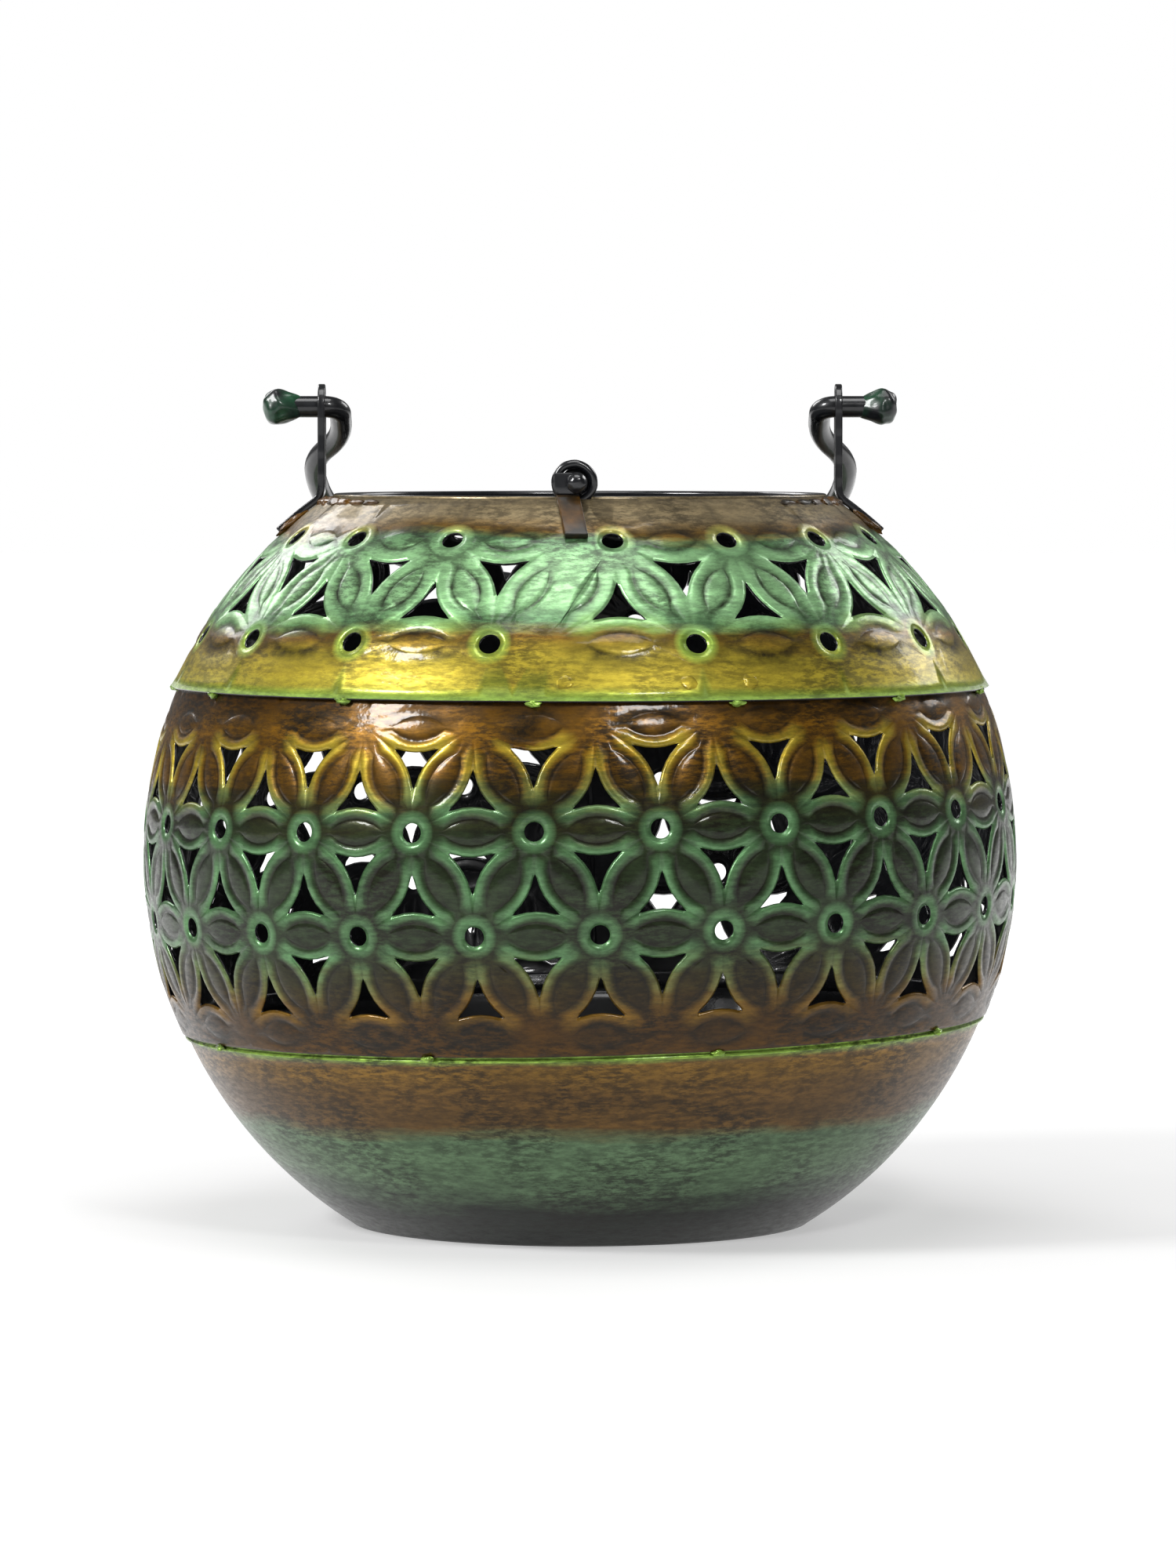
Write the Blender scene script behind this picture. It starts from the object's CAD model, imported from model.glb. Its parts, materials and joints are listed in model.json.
"""Builds the looks of a pierced sheet-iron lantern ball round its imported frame.

Lengths in the functions are millimetres, and make_piece turns them into metres.
Z is up, the front is -Y, and an azimuth is counted from the front, positive towards +X.
"""

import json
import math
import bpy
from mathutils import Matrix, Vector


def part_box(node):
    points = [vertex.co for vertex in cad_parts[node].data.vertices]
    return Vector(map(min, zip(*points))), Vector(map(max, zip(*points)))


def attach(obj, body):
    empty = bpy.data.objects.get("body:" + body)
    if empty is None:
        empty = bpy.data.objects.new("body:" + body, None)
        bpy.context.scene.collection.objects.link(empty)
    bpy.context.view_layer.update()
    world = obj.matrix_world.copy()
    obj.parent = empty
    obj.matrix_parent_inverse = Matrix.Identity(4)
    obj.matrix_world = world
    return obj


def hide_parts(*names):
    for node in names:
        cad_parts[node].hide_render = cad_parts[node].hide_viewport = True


bl_info = {
    "name": "Pierced Lantern Ball",
    "version": (1, 0, 0),
    "blender": (4, 5, 0),
    "location": "View3D > Sidebar > Lantern",
    "description": "Builds a pierced lantern ball with its handle, catch and tealight",
    "category": "Object",
}

from types import SimpleNamespace

import bmesh
import bpy
from bpy.props import FloatProperty, FloatVectorProperty, PointerProperty
from mathutils import Matrix, Vector, noise

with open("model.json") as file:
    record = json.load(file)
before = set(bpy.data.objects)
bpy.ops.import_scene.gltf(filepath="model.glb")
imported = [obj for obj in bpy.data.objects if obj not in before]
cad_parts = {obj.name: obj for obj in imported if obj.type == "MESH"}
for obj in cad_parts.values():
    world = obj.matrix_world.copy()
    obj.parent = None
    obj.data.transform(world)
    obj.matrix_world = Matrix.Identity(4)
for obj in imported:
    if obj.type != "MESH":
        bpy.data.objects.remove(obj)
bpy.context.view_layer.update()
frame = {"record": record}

MM = 0.001
MERGE = 0.004
PIVOT = frame["record"]["behaviour"]["joints"][0]["pos_m"]

# Columns of cut-outs round each pierced shell
BAND_COLS = 22
DOME_COLS = 16
# Shares of a lug's leg: from the upright out to the leg's middle, and from there down to its end
LEG_OUT = 0.35
LEG_DOWN = 0.6
# Height of the hammered unevenness of the sheet
DENT = 0.12
# Vector noise is seeded from the clock unless it is given a seed
NOISE_SEED = 7


# Sizes and colours that a user would change

def length(name, description, millimetres):
    """A size property, in metres"""
    return FloatProperty(name=name, description=description, default=millimetres * MM, unit="LENGTH")


def angle(name, description, degrees):
    """An angle property"""
    return FloatProperty(name=name, description=description, default=math.radians(degrees), subtype="ANGLE")


def linear(code):
    """Turns a colour such as 7fbf8f into linear red, green and blue"""
    values = [int(code[i : i + 2], 16) / 255 for i in (0, 2, 4)]
    return tuple(v / 12.92 if v <= 0.04045 else ((v + 0.055) / 1.055) ** 2.4 for v in values)


def colour(name, description, code):
    """A colour property"""
    return FloatVectorProperty(
        name=name, description=description, default=linear(code), subtype="COLOR", size=3, min=0, max=1
    )


class LanternSizes(bpy.types.PropertyGroup):
    """Sizes of the lantern, where the frame doesn't give them"""

    centre_z: length("Ball centre", "Height of the ball's centre above the foot", 63)
    sheet: length("Sheet", "Thickness of the sheet iron", 0.7)
    mouth_r: length("Mouth radius", "Outer radius of the mouth", 42.4)
    dome_h: length("Dome edge", "Height of the dome's lower edge above the ball's centre", 29.2)
    band_h: length("Band edge", "Depth of the band's lower edge below the ball's centre", 28.4)
    lap: length("Lap", "Depth by which one shell laps the next", 2.4)
    lap_gap: length("Lap gap", "Gap between the bowl and the band", 0.05)
    dome_lap_gap: length("Dome lap gap", "Gap between the band and the dome's edge", 0.15)
    band_tilt: angle("Band tilt", "Angle by which the band and the bowl sit askew", 1.4)
    band_pitch: angle("Band pitch", "Angle from one column of the band to the next", 15.8)
    band_phase: angle("Band phase", "Azimuth of the band's middle column", -5.5)
    row_h: length("Row height", "Height of the band's upper holes above the ball's centre", 8.6)
    row_step: length("Row step", "Height from one row of holes to the next", 16.9)
    cut_w: length("Cut-out width", "Width of a cut-out in the band", 8.7)
    cut_bow: length("Cut-out bow", "Depth by which each side of a cut-out bows inwards", 1.1)
    band_hole_d: length("Band hole", "Diameter of the holes in the band", 3.2)
    dome_pitch: angle("Dome pitch", "Angle from one column of the dome to the next", 22)
    dome_phase: angle("Dome phase", "Azimuth of the dome's first upper hole", 6)
    dome_hole_top: length("Upper dome holes", "Their height above the ball's centre", 55)
    dome_hole_low: length("Lower dome holes", "Their height above the ball's centre", 38.4)
    dome_cut_w: length("Dome cut-out width", "Width of a cut-out in the dome", 9.6)
    dome_hole_d: length("Dome hole", "Diameter of the holes in the dome", 3.6)
    leaf_l: length("Leaf length", "Length of the leaf stamped in each petal", 10)
    leaf_w: length("Leaf width", "Width of that leaf", 4.6)
    groove: length("Groove", "Depth of the groove round a leaf", 0.24)
    flare: length("Flare", "Height of the turned edge round the dome's foot", 0.3)
    bead_r: length("Bead", "Radius of the bead rolled in the bowl under the band", 0.5)
    hem_r: length("Hem", "Radius of the hem round the mouth", 0.6)
    lug_x: length("Lug distance", "Distance of the lugs from the middle", 44.3)
    lug_w: length("Lug width", "Width of a lug", 7.8)
    lug_t: length("Lug thickness", "Thickness of a lug", 1.2)
    lug_leg: length("Lug leg", "Length of the lug's leg on the dome", 10)
    wire_d: length("Handle wire", "Diameter of the handle's wire", 3.7)
    pivot_gap: length("Pivot gap", "Radial clearance of the wire in the lug's hole", 0.25)
    bow_r: length("Bow radius", "Radius of the handle's half circle", 46.4)
    bow_rise: length("Bow rise", "Distance from the pivot to the half circle", 25)
    handle_end: length("Handle end", "Distance of the handle's ends from the middle", 54.5)
    knob_d: length("Knob", "Diameter of the knobs on the handle's ends", 6)
    catch_w: length("Catch width", "Width of the catch strip", 3.8)
    eye_d: length("Eye", "Outer diameter of the catch eye", 7.6)
    eye_wire_d: length("Eye wire", "Diameter of the eye's wire", 1.4)
    stud_d: length("Stud", "Diameter of the ball on the catch stud", 3.5)


class LanternColours(bpy.types.PropertyGroup):
    """Colours of the patina and the enamels"""

    lime: colour("Lime", "Bright edge of the dome", "86a845")
    gold: colour("Gold", "Bright gold patina", "a8962e")
    ochre: colour("Ochre", "Brownish gold patina", "7a5a1e")
    amber: colour("Amber", "Amber patina at the band's top", "7a5410")
    umber: colour("Umber", "Dark brown patina", "4a3008")
    mint: colour("Mint", "Pale green patina on the dome", "86b37e")
    sage: colour("Sage", "Light green where raised edges are rubbed", "5f8a5c")
    moss: colour("Moss", "Dark green patina of the band", "33442a")
    olive: colour("Olive", "Olive-brown patina at the band's bottom", "3a3210")
    mauve: colour("Mauve", "Greyish brown patina round the mouth", "857658")
    russet: colour("Russet", "Brown patina of the bowl", "5a4019")
    jade: colour("Jade", "Greyish green patina of the bowl", "587252")
    pine: colour("Pine", "Near-black green at the foot", "10180f")
    soot: colour("Soot", "Dark rub in the hollows", "17130b")
    enamel: colour("Enamel", "Gloss black of the inside and the hardware", "0c0d10")
    knob: colour("Knob", "Dark green of the knobs", "1a3d29")


def shape():
    """Returns the lantern's dimensions, with lengths in millimetres and angles in degrees"""
    group = bpy.context.scene.lantern_sizes
    d = SimpleNamespace()
    for prop in group.bl_rna.properties:
        if prop.unit == "LENGTH":
            setattr(d, prop.identifier, getattr(group, prop.identifier) / MM)
        elif prop.unit == "ROTATION":
            setattr(d, prop.identifier, math.degrees(getattr(group, prop.identifier)))
    d.body_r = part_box("band")[1].x / MM
    d.mouth_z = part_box("dome")[1].z / MM
    d.mouth_h = d.mouth_z - d.centre_z
    d.pivot_z = PIVOT[2] / MM
    d.band_low_z = d.centre_z - d.band_h
    d.dome_low_z = d.centre_z + d.dome_h
    d.bowl_r = d.body_r - d.sheet - d.lap_gap
    d.dome_edge_r = math.sqrt(d.body_r**2 - d.dome_h**2) + d.sheet + d.dome_lap_gap
    rise = d.mouth_h - d.dome_h
    drop = (d.dome_edge_r**2 + d.dome_h**2 - d.mouth_r**2 - d.mouth_h**2) / (2 * rise)
    d.dome_drop = drop
    d.dome_r = math.hypot(d.mouth_r, d.mouth_h + drop)
    d.dome_z = d.centre_z - drop
    d.wire_r = d.wire_d / 2
    d.leg_lat = math.acos((d.lug_x + LEG_OUT * d.lug_leg) / d.dome_r)
    return d


def shade(name):
    """Returns one of the lantern's colours with full opacity"""
    return (*getattr(bpy.context.scene.lantern_colours, name), 1.0)


# Short calls for meshes and pieces

def ball_point(az, lat, radius, centre_z):
    """Point on a sphere round the vertical axis, from an azimuth and a latitude in radians"""
    return Vector((
        radius * math.cos(lat) * math.sin(az),
        -radius * math.cos(lat) * math.cos(az),
        centre_z + radius * math.sin(lat),
    ))


def ball_frame(az, lat, radius, centre_z):
    """Matrix that sets a thing on a sphere, with its Z outwards and its Y up the surface"""
    return (
        Matrix.Translation((0, 0, centre_z))
        @ Matrix.Rotation(az, 4, "Z")
        @ Matrix.Rotation(math.pi / 2 - lat, 4, "X")
        @ Matrix.Translation((0, 0, radius))
    )


def tilt(bm, d):
    """Turns everything about the ball's centre by the askew angle of the band and the bowl"""
    centre = Vector((0, 0, d.centre_z))
    turn = Matrix.Rotation(math.radians(-d.band_tilt), 3, "Y")
    bmesh.ops.rotate(bm, cent=centre, matrix=turn, verts=bm.verts)


def lathe(bm, profile, steps, closed=False):
    """Turns a profile of (radius, height) points about Z"""
    verts = [bm.verts.new((r, 0, z)) for r, z in profile]
    pairs = list(zip(verts, verts[1:]))
    if closed:
        pairs.append((verts[-1], verts[0]))
    edges = [bm.edges.new(pair) for pair in pairs]
    bmesh.ops.spin(
        bm, geom=verts + edges, cent=(0, 0, 0), axis=(0, 0, 1), angle=math.tau, steps=steps, use_merge=True
    )
    bmesh.ops.remove_doubles(bm, verts=bm.verts, dist=MERGE)
    bmesh.ops.recalc_face_normals(bm, faces=bm.faces)


def arc(centre, radius, start, end, steps):
    """Points (radius, height) along an arc, from angles in degrees"""
    turns = [math.radians(start + (end - start) * i / steps) for i in range(steps + 1)]
    return [(centre[0] + radius * math.cos(t), centre[1] + radius * math.sin(t)) for t in turns]


def blob(bm, place, size, rough, seed, detail=3):
    """A lump of molten metal: a rounded ball of the given half sizes, roughened by noise"""
    made = bmesh.ops.create_icosphere(bm, subdivisions=detail, radius=1.0)["verts"]
    shift = Vector((seed * 3.7, seed * 1.3, seed * 5.1))
    for v in made:
        v.co *= 1 + rough * noise.noise(v.co * 1.6 + shift)
        v.co *= Vector(size)
    bmesh.ops.transform(bm, matrix=place, verts=made)
    return made


def make_piece(name, bm, finishes, body, nodes, sharp=40):
    """Makes a finished piece: it rides on a body and stands for its CAD nodes"""
    bmesh.ops.scale(bm, vec=(MM, MM, MM), verts=bm.verts)
    mesh = bpy.data.meshes.new(name)
    bm.to_mesh(mesh)
    bm.free()
    mesh.shade_smooth()
    mesh.set_sharp_from_angle(angle=math.radians(sharp))
    for finish in finishes:
        mesh.materials.append(finish)
    piece = bpy.data.objects.new(name, mesh)
    bpy.context.scene.collection.objects.link(piece)
    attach(piece, body)
    if nodes:
        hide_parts(*nodes)
    return piece


def add_wall(piece, thickness, offset=-1.0, lined=False):
    """Gives a sheet its thickness, with the second material on a lined wall's inside and cut edges"""
    wall = piece.modifiers.new("wall", "SOLIDIFY")
    wall.thickness = thickness * MM
    wall.offset = offset
    if lined:
        wall.material_offset = 1
        wall.material_offset_rim = 1


def soften(piece, width):
    """Rounds a piece's sharp edges"""
    bevel = piece.modifiers.new("rounded", "BEVEL")
    bevel.width = width * MM
    bevel.segments = 3
    bevel.limit_method = "ANGLE"
    bevel.angle_limit = math.radians(50)
    bevel.harden_normals = False


def draw_out(bm, edges, along, steps=1):
    """Extrudes edges along a vector in equal steps, and returns the last edges"""
    for _ in range(steps):
        made = bmesh.ops.extrude_edge_only(bm, edges=edges)["geom"]
        verts = [g for g in made if isinstance(g, bmesh.types.BMVert)]
        bmesh.ops.translate(bm, vec=Vector(along) / steps, verts=verts)
        edges = [g for g in made if isinstance(g, bmesh.types.BMEdge) and all(v in verts for v in g.verts)]
    return edges


# Materials

def node(tree, kind, inputs=None, **settings):
    """Adds a shader node, and links or sets its inputs"""
    made = tree.nodes.new(kind)
    for key, value in settings.items():
        setattr(made, key, value)
    for key, value in (inputs or {}).items():
        if isinstance(value, bpy.types.NodeSocket):
            tree.links.new(value, made.inputs[key])
        else:
            made.inputs[key].default_value = value
    return made


def new_material(name):
    """Returns a new material with its tree, its principled shader and its object coordinates"""
    material = bpy.data.materials.new(name)
    material.use_nodes = True
    tree = material.node_tree
    place = node(tree, "ShaderNodeTexCoord").outputs["Object"]
    return material, tree, tree.nodes["Principled BSDF"], place


def feed(tree, shader, colour_in=None, roughness=None, bump=None):
    """Links a shader's colour and roughness, and its normal from (strength, metres, height)"""
    if colour_in:
        tree.links.new(colour_in, shader.inputs["Base Color"])
    if roughness:
        tree.links.new(roughness, shader.inputs["Roughness"])
    if bump:
        strength, distance, height = bump
        relief = node(tree, "ShaderNodeBump", {"Strength": strength, "Distance": distance, "Height": height})
        tree.links.new(relief.outputs[0], shader.inputs["Normal"])


def reuse(name, make, *inputs, **settings):
    """Returns a material by name, and makes it the first time"""
    return bpy.data.materials.get(name) or make(name, *inputs, **settings)


def blend_colours(tree, factor, first, second, mode="MIX"):
    """Mixes two colours and returns the result's socket"""
    mix = node(tree, "ShaderNodeMix", data_type="RGBA", blend_type=mode)
    for socket, value in ((0, factor), (6, first), (7, second)):
        if isinstance(value, bpy.types.NodeSocket):
            tree.links.new(value, mix.inputs[socket])
        else:
            mix.inputs[socket].default_value = value
    return mix.outputs[2]


def maths(tree, operation, first, second, clamp=False):
    """One step of arithmetic on two values, and returns its socket"""
    made = node(tree, "ShaderNodeMath", {0: first, 1: second}, operation=operation, use_clamp=clamp)
    return made.outputs[0]


def times(tree, first, second, clamp=False):
    """Multiplies two values"""
    return maths(tree, "MULTIPLY", first, second, clamp)


def plus(tree, first, second):
    """Adds two values"""
    return maths(tree, "ADD", first, second)


def minus(tree, first, second):
    """Takes the second value from the first"""
    return maths(tree, "SUBTRACT", first, second)


def remap(tree, value, low, high, to_low=0.0, to_high=1.0):
    """Maps a range of values on another, clamped"""
    inputs = {"Value": value, "From Min": low, "From Max": high, "To Min": to_low, "To Max": to_high}
    return node(tree, "ShaderNodeMapRange", inputs).outputs[0]


def drawn(tree, coords, *scale):
    """Coordinates stretched by a scale along each axis"""
    return node(tree, "ShaderNodeMapping", {"Vector": coords, "Scale": scale}).outputs[0]


def grey(tree, value):
    """A grey from one value"""
    return node(tree, "ShaderNodeCombineColor", {0: value, 1: value, 2: value}).outputs[0]


def grain(tree, coords, scale, detail=4.0, rough=0.6):
    """Noise between 0 and 1 on the given coordinates"""
    return node(
        tree, "ShaderNodeTexNoise", {"Vector": coords, "Scale": scale, "Detail": detail, "Roughness": rough}
    ).outputs[0]


def ramp(tree, value, stops):
    """A colour ramp from (place, colour name) stops"""
    made = node(tree, "ShaderNodeValToRGB", {0: value})
    elements = made.color_ramp.elements
    while len(elements) < len(stops):
        elements.new(1.0)
    for element, (place, name) in zip(elements, stops):
        element.position = place
        element.color = shade(name)
    return made.outputs[0]


def patina(name, low_z, high_z, stops, rubbed, turn, rub):
    """Painted patina in level bands, brushed along them and lacquered.

    stops and rubbed give the colour at each height, on the flat and where an edge is rubbed.
    """
    material, tree, shader, place = new_material(name)
    turned = {"Vector": place, "Rotation": (0, math.radians(turn), 0)}
    level = node(tree, "ShaderNodeMapping", turned).outputs[0]
    height = node(tree, "ShaderNodeSeparateXYZ", {0: level}).outputs[2]
    streaks = grain(tree, drawn(tree, level, 45, 45, 420), 1.0, 5.0, 0.65)
    fine = grain(tree, drawn(tree, level, 420, 420, 1500), 1.0, 5.0, 0.72)
    clouds = grain(tree, place, 26.0, 3.0, 0.55)
    patches = grain(tree, place, 70.0, 5.0, 0.65)
    specks = grain(tree, place, 420.0, 4.0, 0.7)

    share = remap(tree, height, low_z * MM, high_z * MM)
    waver = times(tree, minus(tree, clouds, 0.5), 0.22)
    ragged = times(tree, minus(tree, streaks, 0.5), 0.14)
    inwards = times(tree, times(tree, share, minus(tree, 1.0, share)), 6.0, clamp=True)
    share = plus(tree, share, times(tree, plus(tree, waver, ragged), inwards))
    flat = ramp(tree, share, stops)
    worn = ramp(tree, share, rubbed)

    soot = shade("soot")
    smudge = remap(tree, patches, 0.40, 0.60, 0.1, rub)
    flat = blend_colours(tree, times(tree, smudge, remap(tree, fine, 0.42, 0.56)), flat, soot)
    hollow = node(tree, "ShaderNodeAttribute", attribute_name="groove").outputs["Fac"]
    hollow = times(tree, hollow, remap(tree, specks, 0.35, 0.65, 0.6, 1.0))
    flat = blend_colours(tree, hollow, flat, soot)
    lip = node(tree, "ShaderNodeAttribute", attribute_name="rub").outputs["Fac"]
    lip = times(tree, lip, remap(tree, patches, 0.35, 0.65, 0.95, 0.45))
    flat = blend_colours(tree, lip, flat, worn)
    dark = remap(tree, streaks, 0.35, 0.65, 0.75, 1.15)
    dark = times(tree, dark, remap(tree, fine, 0.35, 0.65, 1.15, 0.70))
    toned = blend_colours(tree, 1.0, flat, grey(tree, dark), "MULTIPLY")
    feed(tree, shader, toned, remap(tree, fine, 0.3, 0.7, 0.28, 0.50))

    shader.inputs["Metallic"].default_value = 0.5
    shader.inputs["Specular IOR Level"].default_value = 0.15
    shader.inputs["Coat Weight"].default_value = 0.32
    shader.inputs["Coat Roughness"].default_value = 0.11
    uneven = node(tree, "ShaderNodeBump", {"Strength": 0.4, "Distance": 0.0003, "Height": clouds})
    brushed = node(tree, "ShaderNodeBump", {"Strength": 0.30, "Distance": 0.00008, "Height": fine})
    tree.links.new(uneven.outputs[0], brushed.inputs["Normal"])
    tree.links.new(brushed.outputs[0], shader.inputs["Normal"])
    lacquer = node(tree, "ShaderNodeBump", {"Strength": 0.5, "Distance": 0.0004, "Height": patches})
    tree.links.new(lacquer.outputs[0], shader.inputs["Coat Normal"])
    return material


def enamel(name, tone, patches=None, coat=0.5, lumps=0.5):
    """Thick gloss enamel over rough metal, with darker runs where patches names a second colour"""
    material, tree, shader, place = new_material(name)
    runs = grain(tree, place, 140.0, 3.0, 0.5)
    dust = grain(tree, place, 900.0, 3.0, 0.6)
    base = blend_colours(tree, remap(tree, runs, 0.42, 0.62), shade(tone), shade(patches or tone))
    tint = grey(tree, remap(tree, dust, 0.3, 0.7, 0.8, 1.5))
    base = blend_colours(tree, 1.0, base, tint, "MULTIPLY")
    feed(tree, shader, base, remap(tree, runs, 0.3, 0.7, 0.22, 0.42), (lumps, 0.00025, runs))
    shader.inputs["Specular IOR Level"].default_value = 0.3
    shader.inputs["Coat Weight"].default_value = coat
    shader.inputs["Coat Roughness"].default_value = 0.06
    return material


def dome_patina(d):
    """Patina of the dome, from its lower edge to the mouth"""
    stops = (
        (0.0, "lime"), (0.06, "gold"), (0.20, "gold"), (0.30, "ochre"), (0.37, "sage"),
        (0.48, "mint"), (0.68, "mint"), (0.78, "sage"), (0.83, "ochre"), (0.90, "mauve"), (1.0, "mauve"),
    )
    rubbed = ((0.0, "lime"), (0.30, "lime"), (0.42, "mint"), (0.75, "mint"), (0.9, "gold"))
    return reuse("dome_patina", patina, d.dome_low_z, d.mouth_z, stops, rubbed, turn=0.0, rub=0.6)


def band_patina(d):
    """Patina of the band, from its lower edge to the dome"""
    stops = (
        (0.0, "umber"), (0.10, "umber"), (0.22, "olive"), (0.32, "moss"), (0.62, "moss"),
        (0.72, "olive"), (0.78, "amber"), (0.93, "amber"), (1.0, "umber"),
    )
    rubbed = ((0.0, "olive"), (0.14, "ochre"), (0.30, "sage"), (0.68, "sage"), (0.80, "gold"), (1.0, "gold"))
    return reuse("band_patina", patina, d.band_low_z, d.dome_low_z, stops, rubbed, turn=d.band_tilt, rub=0.85)


def bowl_patina(d):
    """Patina of the bowl, from the foot to the bead"""
    stops = (
        (0.0, "pine"), (0.17, "pine"), (0.36, "jade"), (0.56, "jade"), (0.64, "russet"),
        (0.80, "russet"), (0.95, "ochre"), (0.975, "lime"), (1.0, "lime"),
    )
    return reuse("bowl_patina", patina, 0.0, d.band_low_z, stops, stops, turn=d.band_tilt, rub=0.7)


def black_enamel():
    """Gloss black of the inside and the hardware"""
    return reuse("black_enamel", enamel, "enamel")


def burnt_brown():
    """Dark, duller brown of the catch strip and the lugs' welds"""
    return reuse("burnt_brown", enamel, "umber", "soot", coat=0.1, lumps=0.2)


# Pierced shells: a flat net of petals, wrapped on a sphere

# Divisions of half a petal: along it, across it, and round the lattice point at each end
ALONG = 12
ACROSS = 7
TIP = 3
# Places of the lines inside a leaf, as shares of its half width, and from its outline to the edge
LEAF_ROWS = (0.0, 0.50, 0.80)
RIM_ROWS = (0.26, 0.52, 0.78, 1.0)
# Height of those lines above the sheet
LEAF_RISE = (0.03, 0.0, -0.10)
RIM_RISE = (0.02, 0.10, 0.14, -0.22)
# How dark they are, as in a hollow, and how far they are rubbed, as on an edge
LEAF_HOLLOW = (0.05, 0.25, 0.75)
RIM_HOLLOW = (0.30, 0.0, 0.0, 0.0)
RIM_RUB = (0.15, 0.70, 1.0, 1.0)
# Share of a turned edge's height that each line outside the leaf reaches
FLARE_RISE = (0.0, 0.0, 0.15, 1.0)
# Stands for a rim rolled round a cut-out, in place of a turned edge's height
ROLLED = -1
# Half width of a leaf at its tips, blunting of a cut-out's tips, and width of the lip round a hole
LEAF_TIP = 0.25
TIP_ROUND = 0.9
LIP = 1.1


class Net:
    """Rows of lattice points, joined by petals, with a cut-out inside each triangle.

    Until it is wrapped, x runs along the rows, y up the surface and z out of it.
    """

    def __init__(self, d, p):
        """Takes the lantern's dimensions d and a shell's own pattern p"""
        self.bm = bmesh.new()
        self.rub = self.bm.verts.layers.float.new("rub")
        self.hollow = self.bm.verts.layers.float.new("groove")
        self.d = d
        self.p = p
        self.rows = [p.radius * math.asin(h / p.radius) for h in p.heights]
        self.top, self.bottom = (p.radius * math.asin(h / p.radius) for h in p.edges)
        middle = sum(self.rows) / len(self.rows)
        self.per_degree = math.radians(p.radius * math.cos(middle / p.radius))
        self.pitch = p.pitch * self.per_degree
        self.first = p.first * self.per_degree
        self.half_gap = (360 - p.cols * p.pitch) / 2 * self.per_degree

    def point(self, row, i):
        """Lattice point i of a row"""
        return Vector((self.first + self.pitch * i, self.rows[row]))

    def stretch(self, y):
        """How much wider the flat net is than the sphere at this height"""
        return math.degrees(self.per_degree) / (self.p.radius * math.cos(y / self.p.radius))

    def has_hole(self, row, i):
        """True where a lattice point is pierced"""
        low, high = self.p.hole_rows.get(row, (1, 0))
        return low <= i <= high

    def round_point(self, centre, pierced, outer, k):
        """Point on ring k round a lattice point, on the line to a point of the outline"""
        wide = self.stretch(centre.y)
        arm = Vector(((outer.x - centre.x) / wide, outer.y - centre.y))
        limit = arm.length
        inner = self.p.hole_d / 2 if pierced else 0.0
        lip = min(inner + LIP, (inner + limit) / 2) if pierced else limit / 3
        reach = (inner, lip, min(lip + LIP, (lip + limit) / 2))[k] / limit
        return centre + Vector((arm.x * reach * wide, arm.y * reach))

    def petal(self, ends, tips, leaf=True, rim=ROLLED, bow=0.0, rounded=None):
        """Half a petal: from the line between two lattice points to the side of a cut-out"""
        a, b = (self.point(*end) for end in ends)
        pierced = [self.has_hole(*end) for end in ends]
        side = (b - a).normalized()
        out = Vector((-side.y, side.x))
        if (tips[0] - a).dot(out) < 0:
            out.negate()
        bare = (1 - self.d.leaf_l / (b - a).length) / 2
        rounded = rounded or tips
        made = bmesh.ops.create_grid(self.bm, x_segments=ALONG, y_segments=ACROSS, size=1.0)["verts"]
        for v in made:
            i = round((v.co.x + 1) / 2 * ALONG)
            j = round((v.co.y + 1) / 2 * ACROSS)
            k = min(i, ALONG - i)
            near = 0 if i == k else 1
            if k < TIP:
                centre, other = (a, b) if near == 0 else (b, a)
                leaf_tip = centre + (other - centre) * bare
                outer = leaf_tip + (rounded[near] - leaf_tip) * (j / ACROSS)
                spot = self.round_point(centre, pierced[near], outer, k)
                rise, rub, hollow = self.ring_relief(pierced[near], k)
            else:
                q = (i - TIP) / (ALONG - 2 * TIP)
                bulge = 4 * q * (1 - q)
                line = a + (b - a) * (bare + (1 - 2 * bare) * q)
                edge = tips[0] + (tips[1] - tips[0]) * q + out * bow * bulge
                if k == TIP:
                    edge = rounded[near]
                outline = line + out * (LEAF_TIP + (self.d.leaf_w / 2 - LEAF_TIP) * bulge)
                if j < TIP:
                    spot = line + (outline - line) * LEAF_ROWS[j]
                elif j == TIP:
                    spot = outline
                else:
                    spot = outline + (edge - outline) * RIM_ROWS[j - TIP - 1]
                rise, rub, hollow = self.relief(j, k == TIP, leaf, rim)
            v[self.rub] = rub
            v[self.hollow] = hollow
            v.co = (*spot, rise)

    def ring_relief(self, pierced, k):
        """Rise, rub and hollow on ring k round a lattice point"""
        if not pierced:
            return 0.0, 0.0, (0.0, 0.15, 0.30)[k]
        return (-0.15, 0.12, 0.0)[k] * self.p.rolled, (1.0, 0.85, 0.0)[k], (0.0, 0.0, 0.50)[k]

    def relief(self, j, at_tip, leaf, rim):
        """Rise, rub and hollow across a petal, at line j from its middle"""
        if j <= TIP:
            if not leaf:
                return 0.0, 0.0, 0.0
            if at_tip or j == TIP:
                return -self.d.groove * (0.5 if at_tip else 1.0), 0.0, 0.7 if at_tip else 1.0
            return LEAF_RISE[j], 0.0, max(self.p.stain, LEAF_HOLLOW[j])
        n = j - TIP - 1
        hollow = RIM_HOLLOW[n] if leaf else 0.0
        if rim is ROLLED:
            return RIM_RISE[n] * self.p.rolled, RIM_RUB[n], hollow
        return rim * FLARE_RISE[n], (rim > 0) * FLARE_RISE[n], hollow

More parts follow.
